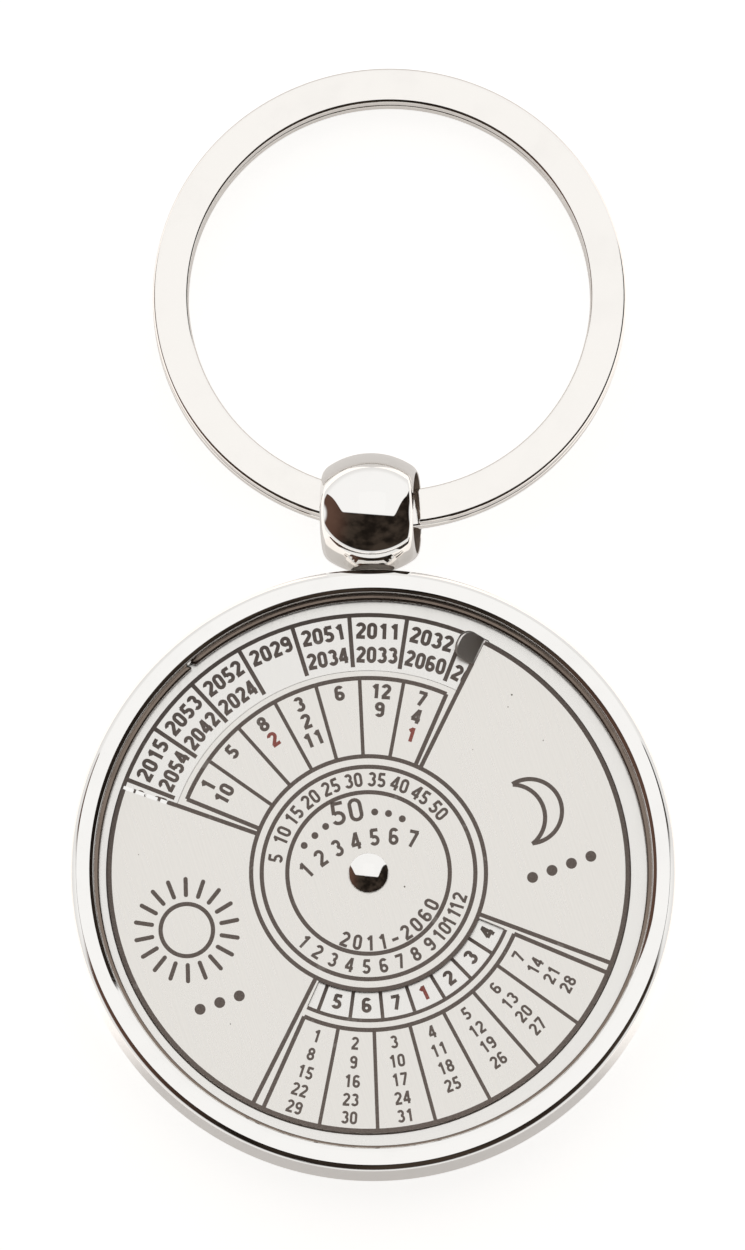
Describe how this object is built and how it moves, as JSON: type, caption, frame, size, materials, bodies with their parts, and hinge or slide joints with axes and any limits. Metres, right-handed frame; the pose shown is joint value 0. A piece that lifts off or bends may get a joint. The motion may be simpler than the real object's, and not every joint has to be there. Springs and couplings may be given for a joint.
{
  "type": "calendar keychain",
  "caption": "Round metal keychain with a turning perpetual calendar dial in a polished case, hung by a swivelling barrel bead from a flat split ring.",
  "frame": {"origin": "centre of the case's flat back face", "axes": "+Z out of the dial, +Y from the case towards the key ring, +X to the right when the dial is read"},
  "size_m": [0.04, 0.0736, 0.0088],
  "materials": {
    "case_chrome": "polished chrome plating",
    "back_steel": "fine straight brushing",
    "dial_steel": "fine straight brushing with dark etched numbers",
    "plate_steel": "fine straight brushing with dark etched lines and numbers",
    "spring_steel": "plain bright spring steel",
    "rivet_chrome": "polished dome",
    "bead_chrome": "mirror polished",
    "ring_nickel": "nickel plate, satin on its flats"
  },
  "bodies": {
    "case": {"case_ring": "case_chrome", "back_plate": "back_steel", "year_disc": "dial_steel", "retaining_ring": "spring_steel", "centre_rivet": "rivet_chrome", "spring_washer": "spring_steel", "rivet_washer": "spring_steel", "swivel_pin": "ring_nickel"},
    "dial": {"calendar_plate": "plate_steel"},
    "swivel_bead": {"bead": "bead_chrome"},
    "key_ring": {"split_ring": "ring_nickel"}
  },
  "joints": [
    {"name": "dial_turn", "type": "hinge", "parent": "case", "child": "dial", "pos_m": [-0.0003, 0, 0.0029], "axis": [0, 0, 1], "continuous": true},
    {"name": "bead_swivel", "type": "hinge", "parent": "case", "child": "swivel_bead", "pos_m": [0, 0.0237, 0.0025], "axis": [0, 1, 0], "continuous": true},
    {"name": "ring_swing", "type": "hinge", "parent": "swivel_bead", "child": "key_ring", "pos_m": [0, 0.0237, 0.0025], "axis": [1, 0, 0], "range_deg": [-120, 130]}
  ]
}
